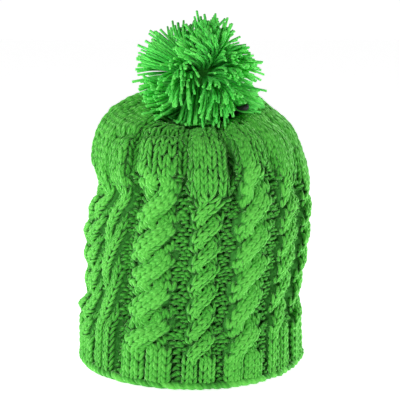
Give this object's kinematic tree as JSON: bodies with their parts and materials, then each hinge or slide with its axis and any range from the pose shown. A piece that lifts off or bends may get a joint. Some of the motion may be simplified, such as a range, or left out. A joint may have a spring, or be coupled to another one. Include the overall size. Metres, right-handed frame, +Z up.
{
  "type": "cable-knit beanie with pompom",
  "caption": "Chunky cable-knit beanie, open at the hem, with a plain gathered crown and a large cut-yarn pompom.",
  "frame": {"origin": "middle of the hat's bounding box, on the plane that the hem stands on", "axes": "+Z up from the hem to the pompom, -Y out of the front of the hat, +X to the right as seen from the front"},
  "size_m": [0.1924, 0.1838, 0.285],
  "materials": {
    "knit_yarn": "soft plied acrylic yarn, matt with a little sheen",
    "pompom_yarn": "loose cut acrylic strands, slightly brighter than the knit",
    "black_elastic": "matt woven elastic cord"
  },
  "bodies": {
    "root": {"knit_body": "knit_yarn", "pompom": "pompom_yarn", "pompom_tie": "black_elastic"}
  },
  "joints": []
}
